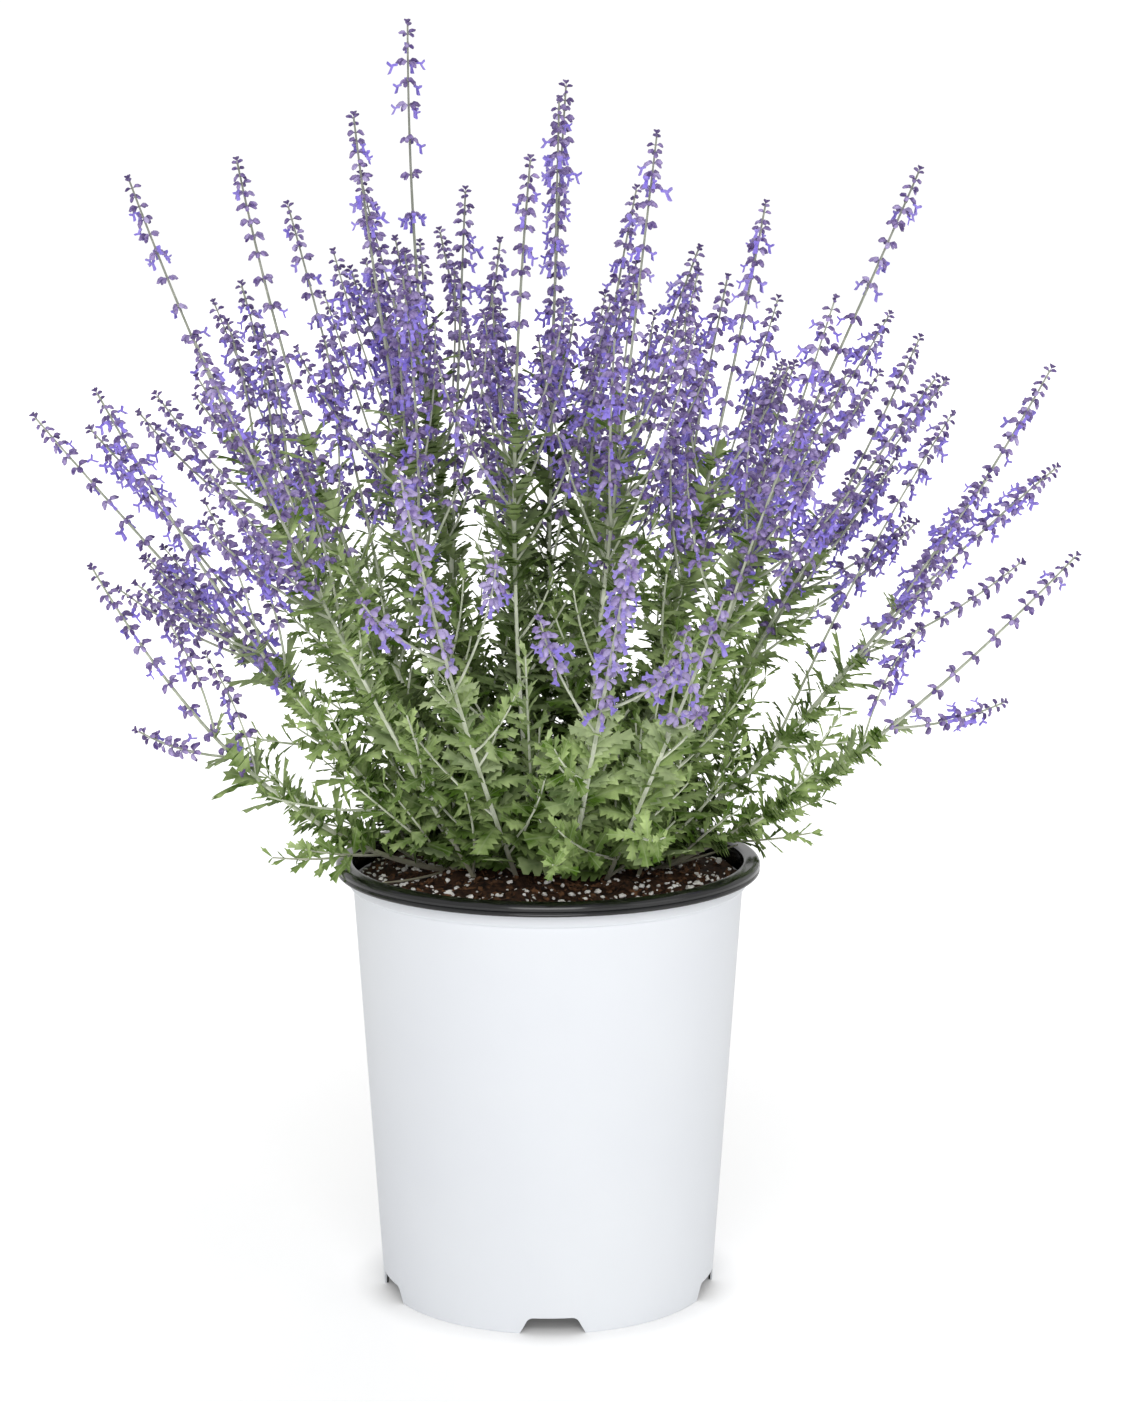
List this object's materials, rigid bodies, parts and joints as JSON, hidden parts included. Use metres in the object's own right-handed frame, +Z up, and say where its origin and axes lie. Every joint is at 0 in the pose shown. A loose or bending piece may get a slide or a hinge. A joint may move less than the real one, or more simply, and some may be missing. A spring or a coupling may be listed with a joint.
{
  "type": "potted russian sage",
  "caption": "Flowering russian sage with violet sprays over cut grey-green leaves, standing in a tapered white nursery pot with a black rolled rim.",
  "frame": {"origin": "the pot's axis on the surface that the pot stands on", "axes": "+Z up the pot's axis, -Y towards the side that the picture shows, +X to its right"},
  "size_m": [0.4551, 0.3831, 0.562],
  "materials": {
    "pot": "smooth satin moulded plastic, cool white outside, black inside and on the rolled rim",
    "soil": "loose damp dark brown potting mix of peat and bark crumbs with pale perlite grains",
    "leaf": "matt downy grey-green leaves on silvery grey-green stems",
    "floret": "matt woolly grey-violet calyces with violet-blue florets"
  },
  "bodies": {
    "root": {"pot": "pot", "soil": "soil", "stem_01": "leaf", "stem_02": "leaf", "stem_03": "leaf", "stem_04": "leaf", "stem_05": "leaf", "stem_06": "leaf", "stem_07": "leaf", "stem_08": "leaf", "stem_09": "leaf", "stem_10": "leaf", "stem_11": "leaf", "stem_12": "leaf", "stem_13": "leaf", "stem_14": "leaf", "stem_15": "leaf", "stem_16": "leaf", "stem_17": "leaf", "stem_18": "leaf", "stem_19": "leaf", "stem_20": "leaf", "stem_21": "leaf", "stem_22": "leaf", "stem_23": "leaf", "stem_24": "leaf", "stem_25": "leaf", "stem_26": "leaf", "spray_01": "floret", "spray_02": "floret", "spray_03": "floret", "spray_04": "floret", "spray_05": "floret", "spray_06": "floret", "spray_07": "floret", "spray_08": "floret", "spray_09": "floret", "spray_10": "floret", "spray_11": "floret", "spray_12": "floret", "spray_13": "floret", "spray_14": "floret", "spray_15": "floret", "spray_16": "floret", "spray_17": "floret", "spray_18": "floret", "spray_19": "floret", "spray_20": "floret", "spray_21": "floret", "spray_22": "floret", "spray_23": "floret", "spray_24": "floret", "spray_25": "floret", "spray_26": "floret"}
  },
  "joints": []
}
